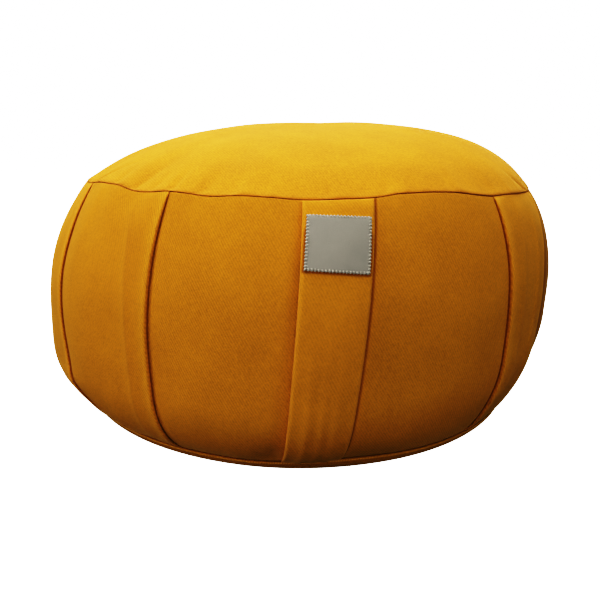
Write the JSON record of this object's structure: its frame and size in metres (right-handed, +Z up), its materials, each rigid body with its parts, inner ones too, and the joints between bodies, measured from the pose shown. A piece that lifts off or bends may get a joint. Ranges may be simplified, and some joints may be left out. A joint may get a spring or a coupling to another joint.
{
  "type": "zafu meditation cushion",
  "caption": "Round stuffed floor cushion with a pleated side wall, domed top panel, flat bottom panel, sewn-in carry handle and a blank label.",
  "frame": {"origin": "on the surface that the cushion rests on, under the middle of its box", "axes": "+Z up, out of the domed top; the carry handle and its label face -Y, and +X is to the right of someone who looks at the handle"},
  "size_m": [0.3402, 0.3434, 0.1835],
  "materials": {
    "wall_twill": "matt washed cotton twill, saffron",
    "panel_twill": "matt washed cotton twill, saffron yellow",
    "handle_twill": "matt washed cotton twill, folded and topstitched",
    "label_satin": "pale grey woven satin, whipped edge"
  },
  "bodies": {
    "root": {"cushion_body": "wall_twill", "top_panel": "panel_twill", "bottom_panel": "panel_twill", "carry_handle": "handle_twill", "side_label": "label_satin"}
  },
  "joints": []
}
